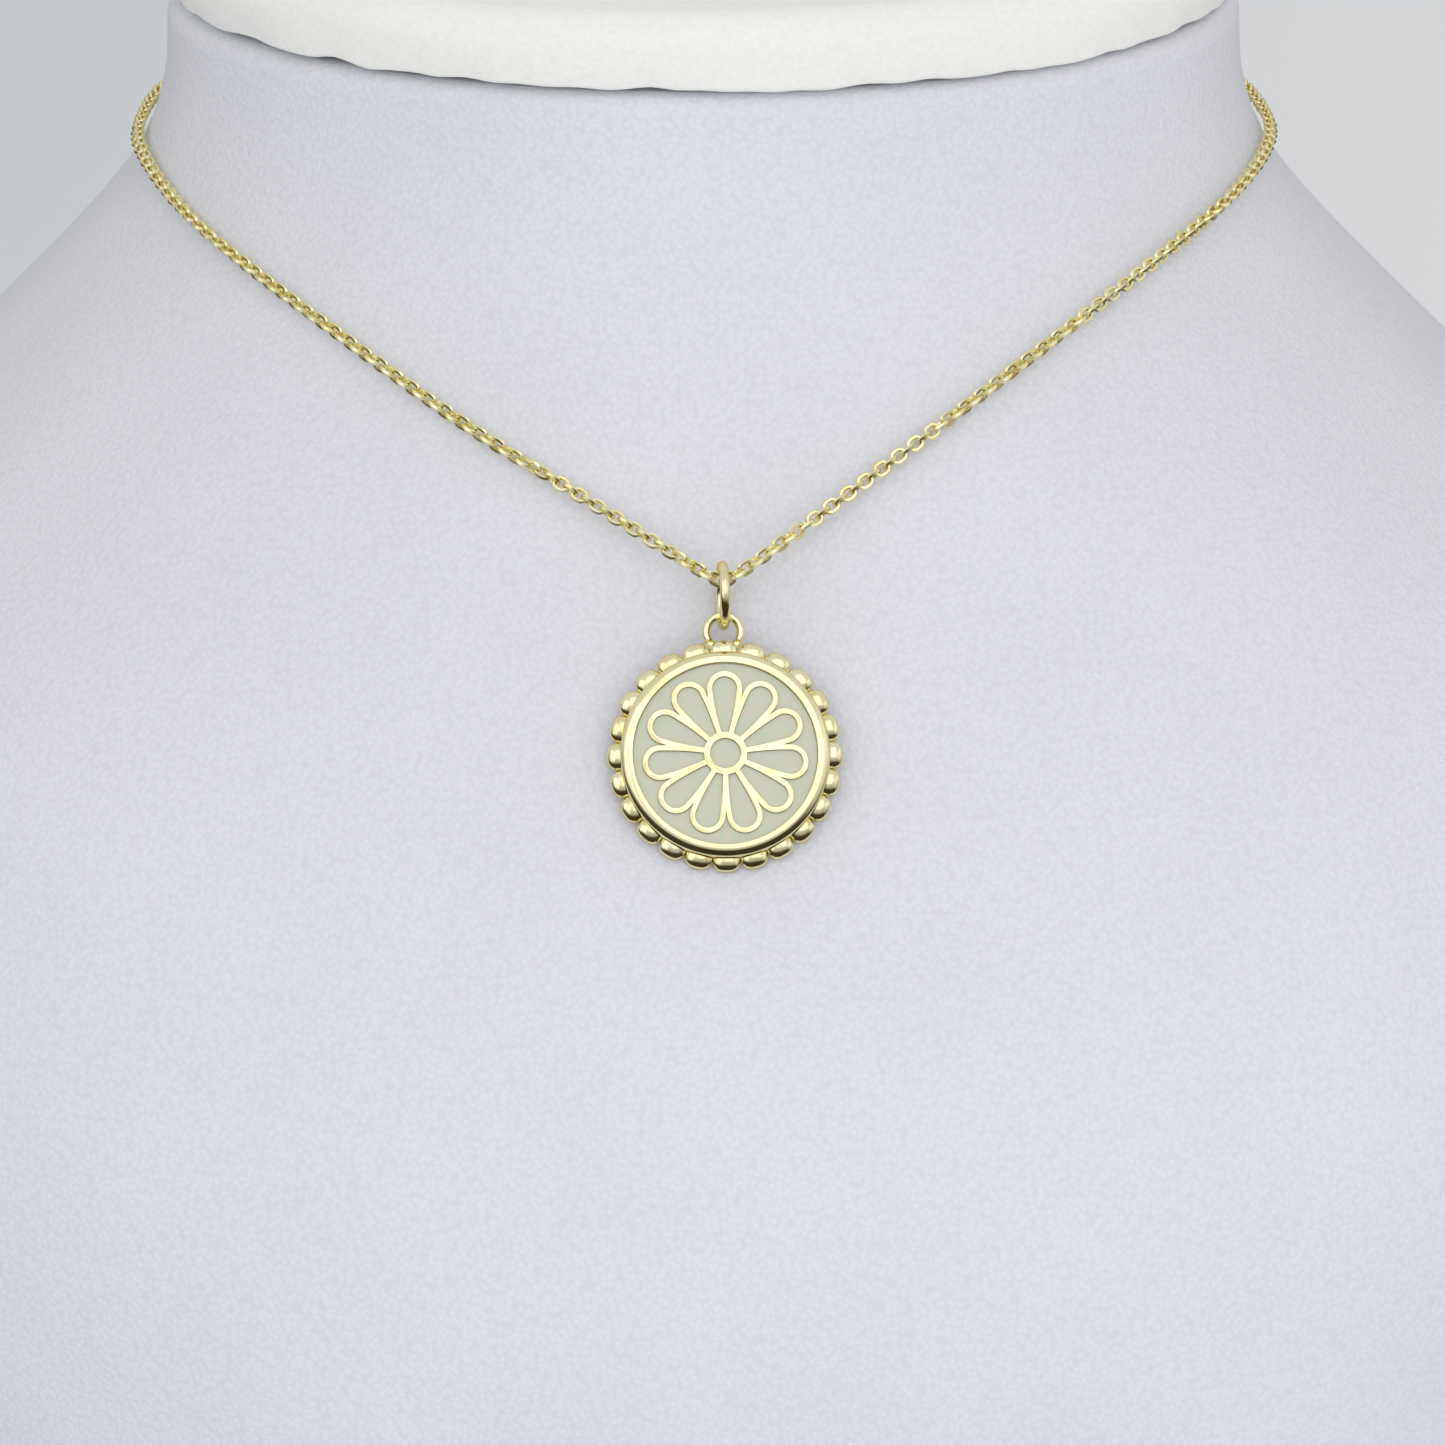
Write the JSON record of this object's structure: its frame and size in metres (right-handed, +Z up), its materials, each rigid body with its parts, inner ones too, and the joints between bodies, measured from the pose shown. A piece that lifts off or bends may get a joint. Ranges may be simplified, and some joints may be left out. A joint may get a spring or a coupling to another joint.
{
  "type": "flower pendant necklace on a neck bust",
  "caption": "Round gold flower medallion with scalloped edge and pale enamel cells, hung by a jump ring on a fine cable chain around a covered display neck bust.",
  "frame": {"origin": "middle of the bust's foot, on the surface that it stands on", "axes": "+Z up, -Y to the front that the pendant faces, +X to the right as seen from the front"},
  "size_m": [0.2081, 0.1701, 0.208],
  "materials": {
    "gold": "high polish pale gold plating",
    "chain_gold": "polished yellow gold plating with flattened link faces",
    "enamel": "satin pearly grey-green enamel with a faint mottle",
    "leatherette": "matt pebbled white leatherette with a lavender cast",
    "cap_leatherette": "matt warm white leatherette over a soft pad"
  },
  "bodies": {
    "stand": {"bust": "leatherette", "neck_cap": "cap_leatherette", "chain_right": "chain_gold", "chain_left": "chain_gold", "clasp": "chain_gold"},
    "ring": {"jump_ring": "gold"},
    "pendant": {"medallion": "gold", "enamel_field": "enamel", "enamel_centre": "enamel", "enamel_petal_01": "enamel", "enamel_petal_02": "enamel", "enamel_petal_03": "enamel", "enamel_petal_04": "enamel", "enamel_petal_05": "enamel", "enamel_petal_06": "enamel", "enamel_petal_07": "enamel", "enamel_petal_08": "enamel", "enamel_petal_09": "enamel", "enamel_petal_10": "enamel", "enamel_petal_11": "enamel"}
  },
  "joints": [
    {"name": "ring_swing", "type": "hinge", "parent": "stand", "child": "ring", "pos_m": [0, -0.04985, 0.16148], "axis": [-1, 0, 0], "range_deg": [0, 45]},
    {"name": "pendant_swing", "type": "hinge", "parent": "ring", "child": "pendant", "pos_m": [0, -0.05093, 0.16047], "axis": [-1, 0, 0], "range_deg": [0, 90]}
  ]
}
